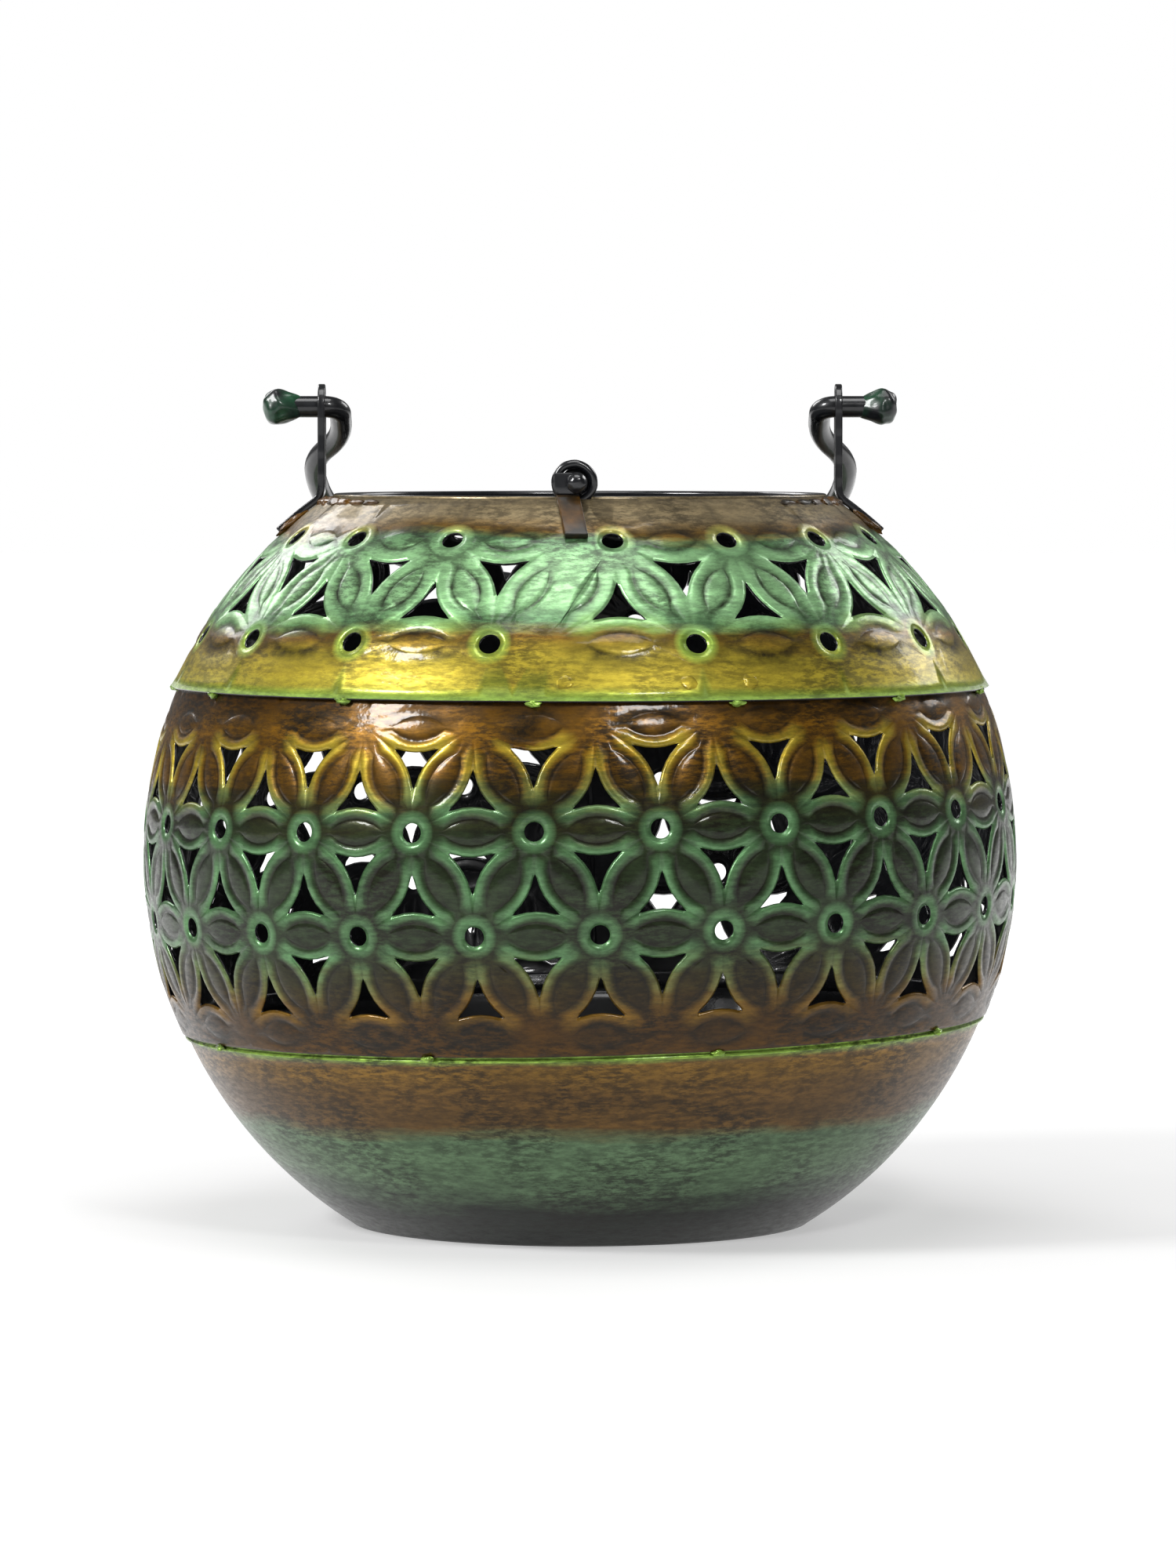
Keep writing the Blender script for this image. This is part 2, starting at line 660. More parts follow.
    def triangle(self, corners):
        """The three half petals round one cut-out"""
        points = [self.point(*corner) for corner in corners]
        centre = sum(points, Vector((0, 0))) / 3
        wide = self.stretch(centre.y)
        spread = max(p.x for p in points) - min(p.x for p in points)
        tall = max(p.y for p in points) - min(p.y for p in points)
        share = Vector((self.p.cut_w * wide / spread, self.p.cut_w * math.sqrt(0.75) / tall))
        tips = [centre + (p - centre) * share for p in points]
        tips = [tip + (tip - centre).normalized() * TIP_ROUND / 2 for tip in tips]
        rounded = [tip + (centre - tip).normalized() * TIP_ROUND for tip in tips]
        for n in range(3):
            m = (n + 1) % 3
            pair = (corners[n], corners[m])
            self.petal(pair, (tips[n], tips[m]), bow=self.d.cut_bow, rounded=(rounded[n], rounded[m]))

    def corner(self, row, i, across, edge_y, turned):
        """The plain patch at the end of an outer row, between the gap and the shell's edge"""
        centre = self.point(row, i)
        made = bmesh.ops.create_grid(self.bm, x_segments=TIP, y_segments=ACROSS, size=1.0)["verts"]
        pierced = self.has_hole(row, i)
        turn_at = 4
        side = centre + Vector((across, 0))
        far = Vector((side.x, edge_y))
        above = Vector((centre.x, edge_y))
        for v in made:
            k = round((v.co.x + 1) / 2 * TIP)
            j = round((v.co.y + 1) / 2 * ACROSS)
            if j <= turn_at:
                outer = side + (far - side) * (j / turn_at)
            else:
                outer = far + (above - far) * ((j - turn_at) / (ACROSS - turn_at))
            spot = outer if k == TIP else self.round_point(centre, pierced, outer, k)
            rise, rub, hollow = 0.0, 0.0, 0.0
            if k < TIP:
                rise, rub, hollow = self.ring_relief(pierced, k)
            elif j >= turn_at:
                rise, rub = turned, float(turned > 0)
            v.co = (*spot, rise)
            v[self.rub] = rub
            v[self.hollow] = hollow

    def lay(self, plain_edges=()):
        """Lays the whole net, with its margins and its plain gap"""
        last = len(self.rows) - 1
        for row in range(last):
            upper, lower = self.p.starts[row], self.p.starts[row + 1]
            step = 0 if upper > lower else 1
            for i in range(self.p.cols):
                self.triangle(((row, i + step + upper), (row + 1, i + lower), (row + 1, i + 1 + lower)))
                down = i + 1 + lower if upper > lower else i + lower
                self.triangle(((row + 1, down), (row, i + upper), (row, i + 1 + upper)))
            for end, way in ((0, -1), (self.p.cols, 1)):
                ends = ((row, end + upper), (row + 1, end + lower))
                shift = Vector((way * self.half_gap, 0))
                tips = [self.point(*e) + shift for e in ends]
                self.petal(ends, tips, leaf=(row, way) not in plain_edges, rim=0.0)
        for row, edge_y, turned in ((0, self.top, 0.0), (last, self.bottom, self.p.flare)):
            start = self.p.starts[row]
            for i in range(self.p.cols):
                ends = ((row, i + start), (row, i + 1 + start))
                tips = [Vector((self.point(*e).x, edge_y)) for e in ends]
                self.petal(ends, tips, rim=turned)
            self.corner(row, start, -self.half_gap, edge_y, turned)
            self.corner(row, self.p.cols + start, self.half_gap, edge_y, turned)

    def wrap(self):
        """Bends the flat net round its sphere and joins it up"""
        for v in self.bm.verts:
            x, y, rise = v.co
            az, lat = math.radians(x / self.per_degree), y / self.p.radius
            hammered = DENT * noise.noise(ball_point(az, lat, self.p.radius, self.p.centre_z) * 0.11)
            v.co = ball_point(az, lat, self.p.radius + rise + hammered, self.p.centre_z)
        bmesh.ops.remove_doubles(self.bm, verts=self.bm.verts, dist=MERGE)
        bmesh.ops.recalc_face_normals(self.bm, faces=self.bm.faces)
        return self.bm


def build_band(d):
    """The pierced band"""
    net = Net(d, SimpleNamespace(
        radius=d.body_r - 0.1,
        centre_z=d.centre_z,
        heights=[d.row_h + d.row_step * (1 - row) for row in range(4)],
        edges=(d.dome_h + d.lap, -d.band_h),
        starts=(0.5, 0, 0.5, 0),
        cols=BAND_COLS,
        pitch=d.band_pitch,
        first=d.band_phase - d.band_pitch * BAND_COLS / 2,
        hole_rows={1: (1, BAND_COLS), 2: (0.5, BAND_COLS - 0.5)},
        hole_d=d.band_hole_d,
        cut_w=d.cut_w,
        rolled=0.8,
        flare=0.0,
        stain=0.55,
    ))
    net.lay()
    bm = net.wrap()
    burn_az, burn_lat, burn_r = -6.9, 19.5, 3.6
    burn = ball_point(math.radians(burn_az), math.radians(burn_lat), d.body_r, d.centre_z)
    for v in bm.verts:
        near = burn_r - (v.co - burn).length
        if near > 0:
            v[net.hollow] = max(v[net.hollow], min(1.0, near))
            v[net.rub] = 0.0
    tilt(bm, d)
    finishes = [band_patina(d), black_enamel()]
    piece = make_piece("pierced_band", bm, finishes, "shell", ["band"], sharp=70)
    add_wall(piece, d.sheet, lined=True)


def build_dome(d):
    """The pierced dome and the hem round its mouth"""
    net = Net(d, SimpleNamespace(
        radius=d.dome_r,
        centre_z=d.dome_z,
        heights=[d.dome_hole_top + d.dome_drop, d.dome_hole_low + d.dome_drop],
        edges=(d.mouth_h - d.hem_r + d.dome_drop, d.dome_h + d.dome_drop),
        starts=(0.5, 0),
        cols=DOME_COLS,
        pitch=d.dome_pitch,
        first=d.dome_phase - d.dome_pitch / 2,
        hole_rows={0: (0.5, DOME_COLS - 0.5), 1: (1, DOME_COLS)},
        hole_d=d.dome_hole_d,
        cut_w=d.dome_cut_w,
        rolled=0.45,
        flare=d.flare,
        stain=0.0,
    ))
    net.lay(plain_edges={(0, -1)})
    bm = net.wrap()
    finishes = [dome_patina(d), black_enamel()]
    piece = make_piece("pierced_dome", bm, finishes, "shell", ["dome"], sharp=70)
    add_wall(piece, d.sheet, lined=True)
    hem = bmesh.new()
    lathe(hem, arc((d.mouth_r - d.hem_r, d.mouth_z - d.hem_r), d.hem_r, 0, 345, 15), 160, closed=True)
    for face in hem.faces:
        middle = face.calc_center_median()
        outwards = face.normal.x * middle.x + face.normal.y * middle.y
        face.material_index = 1 if outwards < 0.2 * middle.length else 0
    make_piece("mouth_hem", hem, finishes, "shell", ())


def build_bowl(d):
    """The bowl, with the bead under the band and its flat foot"""
    bead_z = d.band_low_z - d.bead_r - 0.2
    top = math.degrees(math.asin((d.band_low_z + d.lap - d.centre_z) / d.bowl_r))
    bead_lat = math.degrees(math.asin((bead_z - d.centre_z) / d.bowl_r))
    bead_half = math.degrees(d.bead_r / d.bowl_r)
    low = -80
    bead_steps = 8
    foot_taper = 0.988
    centre = (0, d.centre_z)
    profile = arc(centre, d.bowl_r, top, bead_lat + bead_half, 4)
    for n in range(1, bead_steps):
        t = n / bead_steps
        lat = math.radians(bead_lat + bead_half * (1 - 2 * t))
        reach = d.bowl_r + d.bead_r * math.sin(math.pi * t)
        profile.append((reach * math.cos(lat), d.centre_z + reach * math.sin(lat)))
    profile += arc(centre, d.bowl_r, bead_lat - bead_half, low, 40)
    bm = bmesh.new()
    lathe(bm, profile, 192)
    for v in bm.verts:
        v.co += v.co.normalized() * DENT * noise.noise(v.co * 0.05)
    tilt(bm, d)
    level = d.sheet * 0.5
    geom = list(bm.verts) + list(bm.edges) + list(bm.faces)
    bmesh.ops.bisect_plane(bm, geom=geom, plane_co=(0, 0, level), plane_no=(0, 0, -1), clear_outer=True)
    rim = [e for e in bm.edges if e.is_boundary and e.verts[0].co.z < level + 0.1]
    rim = draw_out(bm, rim, (0, 0, 0))
    for v in {v for e in rim for v in e.verts}:
        v.co *= foot_taper
        v.co.z = 0.0
    face = bmesh.ops.contextual_create(bm, geom=rim)["faces"]
    bmesh.ops.inset_region(bm, faces=face, thickness=3.0)
    bmesh.ops.recalc_face_normals(bm, faces=bm.faces)
    finishes = [bowl_patina(d), black_enamel()]
    piece = make_piece("bowl_shell", bm, finishes, "shell", ["bowl"], sharp=60)
    add_wall(piece, d.sheet, lined=True)


# Welds

def bead_ring(bm, count, first, reach, height, size, rough, seed):
    """Weld beads evenly round the vertical axis, the first at an azimuth in degrees"""
    for n in range(count):
        az = math.radians(first + n * 360 / count)
        place = Matrix.Rotation(az, 4, "Z") @ Matrix.Translation((0, -reach, height))
        blob(bm, place, size, rough, n + seed)


def build_welds(d):
    """Weld beads along both seams and the weld in the band's own seam"""
    top = bmesh.new()
    bead_ring(top, 13, -61.5, d.dome_edge_r - 0.3, d.dome_low_z - 0.25, (1.3, 0.7, 0.65), 0.5, 0)
    spot_lat = math.asin((d.dome_h + 3.0 + d.dome_drop) / d.dome_r)
    for n, az in enumerate((-2, 15, 24)):
        blob(top, ball_frame(math.radians(az), spot_lat, d.dome_r, d.dome_z), (1.3, 1.3, 0.18), 0.3, n + 30)
    make_piece("dome_seam_welds", top, [dome_patina(d)], "shell", ["top_seam_tacks"])

    low = bmesh.new()
    reach = math.sqrt(d.body_r**2 - d.band_h**2)
    bead_ring(low, 9, -21.6, reach - 0.1, d.band_low_z - 0.35, (1.1, 0.65, 0.6), 0.5, 20)
    tilt(low, d)
    make_piece("bowl_seam_welds", low, [bowl_patina(d)], "shell", ["bottom_seam_tacks"])

    seam = bmesh.new()
    bead_r = 0.75
    seam_az = d.band_phase + d.band_pitch * (BAND_COLS / 2 + 0.25) - (BAND_COLS * d.band_pitch - 360) / 2
    ends = (d.band_low_z + d.lap + 1, d.dome_low_z - 0.5)
    lats = [math.asin((z - d.centre_z) / d.body_r) for z in ends]
    ring = bmesh.ops.create_circle(seam, cap_ends=True, segments=12, radius=bead_r)["verts"]
    bmesh.ops.rotate(seam, cent=(0, 0, 0), matrix=Matrix.Rotation(math.pi / 2, 3, "X"), verts=ring)
    bmesh.ops.scale(seam, vec=(0.8, 1, 1), verts=ring)
    for v in ring:
        v.co = Vector((v.co.x, -d.body_r + d.sheet / 2 + v.co.z, 0))
    edges = list(seam.edges)
    faces = list(seam.faces)
    bmesh.ops.rotate(seam, cent=(0, 0, 0), matrix=Matrix.Rotation(-lats[0], 3, "X"), verts=ring)
    bmesh.ops.spin(
        seam, geom=ring + edges + faces, cent=(0, 0, 0), axis=(-1, 0, 0), angle=lats[1] - lats[0], steps=90
    )
    for v in seam.verts:
        v.co *= 1 + 0.0022 * noise.noise(v.co * 0.9)
    bmesh.ops.translate(seam, vec=(0, 0, d.centre_z), verts=seam.verts)
    bmesh.ops.rotate(
        seam, cent=(0, 0, 0), matrix=Matrix.Rotation(math.radians(seam_az), 3, "Z"), verts=seam.verts
    )
    tilt(seam, d)
    bmesh.ops.recalc_face_normals(seam, faces=seam.faces)
    make_piece("band_seam_bead", seam, [black_enamel()], "shell", ["band_seam_weld"])


# Lugs

def lug_path(d, s):
    """Point (distance from the middle, height) of a lug's middle surface, s below the pivot"""
    reach = d.dome_r + d.lug_t / 2 + 0.05
    meet = math.acos(d.lug_x / reach)
    meet_z = d.dome_z + reach * math.sin(meet)
    down = d.pivot_z - meet_z
    if s <= down:
        return Vector((d.lug_x, d.pivot_z - s))
    at = meet - (s - down) / reach
    return Vector((reach * math.cos(at), d.dome_z + reach * math.sin(at)))


def build_lug(d, side, name, node_name):
    """A strip with a round eye for the handle, bent outwards on to the dome"""
    half = d.lug_w / 2
    bm = bmesh.new()
    bmesh.ops.create_circle(bm, segments=40, radius=d.wire_r + d.pivot_gap)
    outer = bmesh.ops.create_circle(bm, segments=40, radius=half)["verts"]
    for v in outer:
        if v.co.y < 0:
            v.co *= half / max(abs(v.co.x), abs(v.co.y))
    bmesh.ops.bridge_loops(bm, edges=list(bm.edges))
    foot = [e for e in bm.edges if e.is_boundary and all(v.co.y < -half + 0.01 for v in e.verts)]
    run = d.pivot_z - (d.dome_z + d.dome_r * math.sin(d.leg_lat)) + LEG_DOWN * d.lug_leg
    draw_out(bm, foot, (0, half - run, 0), 30)
    bend = 1.3
    for v in bm.verts:
        across, s = v.co.x, -v.co.y
        place = (lug_path(d, s - bend) + 2 * lug_path(d, s) + lug_path(d, s + bend)) / 4
        across *= 1 + 0.03 * noise.noise(Vector((side, s * 0.3, 0)))
        v.co = (side * place.x, across, place.y)
    bmesh.ops.recalc_face_normals(bm, faces=bm.faces)
    piece = make_piece(name, bm, [black_enamel()], "shell", [node_name])
    add_wall(piece, d.lug_t, 0.0)
    soften(piece, 0.22)


def build_lugs(d):
    """Both lugs, the weld beads along their legs and the weld smears round the mouth beside them"""
    build_lug(d, -1, "left_lug_strip", "left_lug")
    build_lug(d, 1, "right_lug_strip", "right_lug")
    bm = bmesh.new()
    for n, (side, edge) in enumerate(((-1, -1), (-1, 1), (1, -1), (1, 1))):
        place = ball_frame(side * math.pi / 2, d.leg_lat, d.dome_r, d.dome_z)
        place = place @ Matrix.Translation((edge * (d.lug_w / 2 + 0.1), -1.6, 0.15))
        blob(bm, place, (0.75, 2.9, 0.7), 0.55, n + 40)
    smears = 6
    smear_az = 82
    smear_step = 6
    smear_lat = math.asin((d.mouth_z - 1.3 - d.dome_z) / d.dome_r)
    for side in (-1, 1):
        for n in range(smears):
            az = math.radians(side * (smear_az - smear_step * n))
            size = (2.9 - 0.15 * n, 1.2 - 0.12 * n, 0.60 - 0.04 * n)
            blob(bm, ball_frame(az, smear_lat, d.dome_r, d.dome_z), size, 0.35, n + 50)
    make_piece("lug_weld_beads", bm, [burnt_brown()], "shell", ["lug_welds"])


# Handle

class Wire:
    """A round wire, drawn out from one end by straight lengths and bends in the XZ plane"""

    def __init__(self, start, radius, sides=24):
        self.bm = bmesh.new()
        turn = Matrix.Translation(start) @ Matrix.Rotation(math.pi / 2, 4, "Y")
        ring = bmesh.ops.create_circle(self.bm, cap_ends=True, segments=sides, radius=radius, matrix=turn)
        self.end = list({e for v in ring["verts"] for e in v.link_edges})

    def straight(self, along, steps):
        """A straight length"""
        self.end = draw_out(self.bm, self.end, along, steps)

    def bend(self, x, z, way, degrees, steps):
        """A bend about a point; way is 1 clockwise and -1 the other way, seen from the front"""
        verts = list({v for e in self.end for v in e.verts})
        made = bmesh.ops.spin(
            self.bm, geom=verts + self.end, cent=(x, 0, z), axis=(0, way, 0),
            angle=math.radians(degrees), steps=steps
        )["geom_last"]
        self.end = [g for g in made if isinstance(g, bmesh.types.BMEdge)]

    def close(self):
        """Closes the far end"""
        bmesh.ops.contextual_create(self.bm, geom=self.end)
        bmesh.ops.recalc_face_normals(self.bm, faces=self.bm.faces)
        return self.bm


def handle_rest(d):
    """Matrix that lays the upright handle back on the dome"""
    rest_gap = 0.3
    apex = d.bow_rise + d.bow_r
    rise = d.pivot_z - d.dome_z
    reach = d.dome_r + d.wire_r + rest_gap
    fold = math.acos((reach**2 - apex**2 - rise**2) / (2 * apex * rise))
    return Matrix.Translation((0, 0, d.pivot_z)) @ Matrix.Rotation(-fold, 4, "X")


def build_handle(d):
    """The bent wire and the two melted knobs on its ends"""
    bend_r = 2.6
    neck_h = 6
    knob_wall = 1.6
    neck_x = d.lug_x - d.lug_t / 2 - d.wire_r - 0.65
    bend_x = neck_x + bend_r
    end_x = d.handle_end - knob_wall
    sway = 2 * math.atan((d.bow_r - neck_x) / (d.bow_rise - neck_h))
    sway_r = (d.bow_rise - neck_h) / (2 * math.sin(sway))
    sway = math.degrees(sway)
    wire = Wire((-end_x, 0, 0), d.wire_r)
    wire.straight((end_x - bend_x, 0, 0), 6)
    wire.bend(-bend_x, bend_r, -1, 90, 10)
    wire.straight((0, 0, neck_h - bend_r), 3)
    wire.bend(-neck_x - sway_r, neck_h, -1, sway, 8)
    wire.bend(sway_r - d.bow_r, d.bow_rise, 1, sway, 8)
    wire.bend(0, d.bow_rise, 1, 180, 90)
    wire.bend(d.bow_r - sway_r, d.bow_rise, 1, sway, 8)
    wire.bend(neck_x + sway_r, neck_h, -1, sway, 8)
    wire.straight((0, 0, bend_r - neck_h), 3)
    wire.bend(bend_x, bend_r, -1, 90, 10)
    wire.straight((end_x - bend_x, 0, 0), 6)
    bm = wire.close()
    wobble = 0.25
    wobble_from, wobble_over = 4, 14
    for v in bm.verts:
        share = min(1.0, max(0.0, (v.co.z - wobble_from) / wobble_over))
        v.co += noise.noise_vector(v.co * 0.055) * wobble * share
    rest = handle_rest(d)
    bmesh.ops.transform(bm, matrix=rest, verts=bm.verts)
    make_piece("bail_wire", bm, [black_enamel()], "handle", ["handle"])
    green = enamel("green_enamel", "knob", "enamel", coat=0.25, lumps=0.15)
    knob_l = 5.4
    neck_l = 2.4
    fat, taper = 1.06, 0.16
    sides = ((-1, "left_melted_knob", "left_knob"), (1, "right_melted_knob", "right_knob"))
    for side, name, node_name in sides:
        bm = bmesh.new()
        verts = blob(bm, Matrix(), (1, 1, 1), 0.14, 60 + side, detail=5)
        for v in verts:
            inwards = max(0.0, -side * v.co.x)
            v.co.x *= knob_l / 2 + neck_l * inwards
            slim = d.knob_d / 2 * (fat - taper * inwards)
            v.co.y *= slim
            v.co.z *= slim
        bmesh.ops.translate(bm, vec=(side * (d.handle_end - knob_l / 2), 0, 0), verts=verts)
        bmesh.ops.transform(bm, matrix=rest, verts=bm.verts)
        make_piece(name, bm, [green], "handle", [node_name])


# Catch

def build_catch(d):
    """The strip on the front of the dome, the eye above the mouth, its stud and the braze"""
    catch_y = -d.mouth_r - 1.4
    thick = 1.1
    lean = math.radians(8)
    leg = 11
    over = 3.4
    mid_r = 47.2
    start_x = -1.3
    bent_out = 0.024
    narrowing = 0.10
    reach = d.dome_r + thick / 2
    mouth_lat = math.asin((d.mouth_z - d.dome_z) / d.dome_r)
    down = (mouth_lat - math.acos(mid_r / d.dome_r)) * d.dome_r + leg / 2
    bm = bmesh.new()
    made = bmesh.ops.create_grid(bm, x_segments=6, y_segments=22, size=1.0)["verts"]
    for v in made:
        across = v.co.x * d.catch_w / 2
        s = (1 - v.co.y) / 2 * (down + over) - over
        lat = mouth_lat - s / d.dome_r
        if s >= 0:
            away, z = reach * math.cos(lat), d.dome_z + reach * math.sin(lat)
        else:
            away, z = -catch_y - bent_out * s * s, d.dome_z + reach * math.sin(mouth_lat) - s
        sideways = start_x - (down - leg / 2 - s) * math.tan(lean)
        width = 1.0 - narrowing * max(0.0, -s / over)
        v.co = (sideways + across * width, -away, z)
    bmesh.ops.smooth_vert(bm, verts=bm.verts, factor=0.5, use_axis_y=True, use_axis_z=True)
    bmesh.ops.recalc_face_normals(bm, faces=bm.faces)
    for face in bm.faces:
        face.material_index = 1 if face.calc_center_median().z > d.mouth_z else 0
    finishes = [burnt_brown(), black_enamel()]
    strip = make_piece("catch_strip_plate", bm, finishes, "shell", ["catch_strip"])
    add_wall(strip, thick, 0.0)
    soften(strip, 0.25)

    eye_x, eye_z = -0.9, d.mouth_z + 2.15
    eye_y = catch_y + thick / 2 + d.eye_wire_d / 2
    lying = Matrix.Rotation(math.pi / 2, 4, "X")
    bm = bmesh.new()
    profile = arc((d.eye_d / 2 - d.eye_wire_d / 2, 0), d.eye_wire_d / 2, 0, 345, 15)
    lathe(bm, profile, 56, closed=True)
    for v in bm.verts:
        v.co += noise.noise_vector(v.co * 0.5) * 0.12
    bmesh.ops.transform(bm, matrix=Matrix.Translation((eye_x, eye_y, eye_z)) @ lying, verts=bm.verts)
    make_piece("catch_eye_ring", bm, [black_enamel()], "shell", ["catch_eye"])

    stud_x, stud_y = eye_x + 0.4, catch_y - 0.6
    shank_r = 0.75
    bm = bmesh.new()
    blob(bm, Matrix.Translation((stud_x, stud_y, eye_z)), (d.stud_d / 2,) * 3, 0.08, 71, detail=4)
    bmesh.ops.create_cone(
        bm, cap_ends=True, segments=20, radius1=shank_r, radius2=shank_r, depth=eye_y - catch_y + 1.6,
        matrix=Matrix.Translation((stud_x, (stud_y + eye_y) / 2, eye_z)) @ lying
    )
    head = Matrix.Translation((stud_x, eye_y + d.eye_wire_d / 2 + 0.35, eye_z + 0.3))
    blob(bm, head, (2.6, 0.55, 2.3), 0.06, 72, detail=4)
    make_piece("catch_stud_ball", bm, [black_enamel()], "shell", ["catch_stud"])

    bm = bmesh.new()
    place = Matrix.Translation((eye_x, -d.mouth_r + d.hem_r, d.mouth_z - 0.1))
    blob(bm, place, (1.9, 0.9, 0.75), 0.4, 73, detail=4)
    make_piece("catch_braze_bead", bm, [black_enamel()], "shell", ["catch_braze"])


# Candle

def foil_finish():
    """Thin drawn aluminium with faint drawing marks"""
    material, tree, shader, place = new_material("foil")
    marks = grain(tree, drawn(tree, place, 2200, 2200, 60), 1.0, 3.0, 0.6)
    dents = grain(tree, place, 180.0, 2.0, 0.5)
    tone = blend_colours(tree, marks, (0.62, 0.63, 0.65, 1), (0.88, 0.89, 0.90, 1))
    feed(tree, shader, tone, remap(tree, marks, 0.3, 0.7, 0.18, 0.38), (0.3, 0.0002, dents))
    shader.inputs["Metallic"].default_value = 1.0
    return material


def wax_finish():
    """White paraffin, cloudy under a faint skin"""
    material, tree, shader, place = new_material("paraffin")
    clouds = grain(tree, place, 120.0, 5.0, 0.6)
    tone = blend_colours(tree, clouds, (0.74, 0.71, 0.60, 1), (0.90, 0.88, 0.82, 1))
    feed(tree, shader, tone, remap(tree, clouds, 0.3, 0.7, 0.35, 0.55), (0.3, 0.0001, clouds))
    shader.inputs["Subsurface Weight"].default_value = 0.25
    shader.inputs["Subsurface Radius"].default_value = (0.004, 0.003, 0.002)
    return material


def cotton_finish():
    """Waxed cotton, plaited"""
    material, tree, shader, place = new_material("waxed_cotton")
    turned = node(tree, "ShaderNodeMapping", {"Vector": place, "Rotation": (0.6, 0.5, 0)}).outputs[0]
    plait = node(tree, "ShaderNodeTexWave", {"Vector": turned, "Scale": 700.0, "Distortion": 2.0}).outputs[1]
    tone = blend_colours(tree, plait, (0.62, 0.57, 0.44, 1), (0.88, 0.85, 0.76, 1))
    feed(tree, shader, tone, bump=(0.6, 0.00015, plait))
    shader.inputs["Roughness"].default_value = 0.7
    return material


def build_candle_cup(d):
    """The seat on the floor of the bowl, with a rolled lip, and its three weld beads"""
    lo, hi = (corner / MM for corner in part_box("candle_cup"))
    lip = 0.8
    round_r = 1
    outer = hi.x - lip
    inner = outer - d.sheet
    low = lo.z
    high = hi.z - lip
    floor = low + d.sheet
    profile = [(0, floor), (inner - round_r, floor), (inner, floor + round_r), (inner, high)]
    profile += arc((inner + lip, high), lip, 180, 0, 10)[1:]
    profile += arc((inner + lip, high), lip, 0, -110, 6)[1:]
    profile += [(outer, high - lip), (outer, low + round_r), (outer - round_r, low), (0, low)]
    bm = bmesh.new()
    lathe(bm, profile, 128)
    make_piece("candle_seat", bm, [black_enamel()], "shell", ["candle_cup"])
    bm = bmesh.new()
    bead_ring(bm, 3, 0, outer + 0.2, low + 0.3, (1.7, 1.1, 1.0), 0.4, 80)
    make_piece("candle_seat_welds", bm, [black_enamel()], "shell", ["cup_tacks"])


def build_tealight():
    """The tealight: drawn metal cup, wax, sustainer tab and wick"""
    foil = foil_finish()
    build_foil_cup(foil)
    surface = build_wax()
    build_sustainer(foil)
    build_wick(surface)


def build_foil_cup(foil):
    """The drawn cup, with a recess under its floor, a rolled rim and faint crimps"""
    lo, hi = (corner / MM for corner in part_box("tealight_cup"))
    wall = 0.35
    radius = hi.x
    side = radius - 0.25
    recess = 0.5
    profile = [(0, lo.z + recess), (radius - 5, lo.z + recess), (radius - 4, lo.z), (radius - 1.2, lo.z)]
    profile += arc((radius - 1.2, lo.z + 1.2), 0.9, -90, 0, 5)
    profile += [(side, lo.z + 5), (side, hi.z - 1.0)]
    profile += arc((radius - 0.45, hi.z - 0.45), 0.45, 0, 180, 8)
    profile += [(side - wall, lo.z + 5), (side - 0.25 - wall, lo.z + 1.2)]
    profile += [(radius - 4, lo.z + wall), (radius - 5, lo.z + recess + wall), (0, lo.z + recess + wall)]
    bm = bmesh.new()
    lathe(bm, profile, 240)
    crimps = 60
    crimp_depth = 0.10
    for v in bm.verts:
        r = math.hypot(v.co.x, v.co.y)
        if r > radius - 1.1 and lo.z + 2 < v.co.z < hi.z - 1.5:
            ripple = 1 + crimp_depth / radius * math.cos(crimps * math.atan2(v.co.y, v.co.x))
            v.co.x *= ripple
            v.co.y *= ripple
    make_piece("tealight_foil_cup", bm, [foil], "tealight", ["tealight_cup"])


def build_wax():
    """The wax, which dips towards the wick; returns the height of its surface there"""
    lo, hi = (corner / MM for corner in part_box("tealight_wax"))
    r = hi.x - 0.35
    base = lo.z + 0.55
    surface = hi.z - 0.6
    profile = [(0, base), (r - 5, base), (r - 4.2, lo.z + 0.1), (r - 1.5, lo.z + 0.1), (r - 0.3, lo.z + 1.5)]
    profile += [(r, hi.z - 0.4), (r - 0.15, hi.z), (r - 0.9, hi.z - 0.35), (r - 2.5, hi.z - 0.55)]
    profile += [(r - 7, surface), (4.5, hi.z - 0.75), (2.2, hi.z - 0.9), (1.1, hi.z - 0.65), (0, surface)]
    bm = bmesh.new()
    lathe(bm, profile, 160)
    for v in bm.verts:
        if v.co.z > hi.z - 1 and math.hypot(v.co.x, v.co.y) < r - 2:
            v.co.z += 0.12 * noise.noise(v.co * 0.25)
    make_piece("tealight_paraffin", bm, [wax_finish()], "tealight", ["tealight_wax"])
    return surface


def build_sustainer(foil):
    """The tab and collar that hold the wick upright"""
    lo, hi = (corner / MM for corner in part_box("wick_tab"))
    collar = 1.3
    profile = [(0, lo.z + 0.02), (hi.x, lo.z + 0.02), (hi.x, lo.z + 0.35)]
    profile += [(collar + 0.7, lo.z + 0.4), (collar, lo.z + 0.9), (collar - 0.1, hi.z), (0, hi.z)]
    bm = bmesh.new()
    lathe(bm, profile, 48)
    make_piece("wick_sustainer", bm, [foil], "tealight", ["wick_tab"])


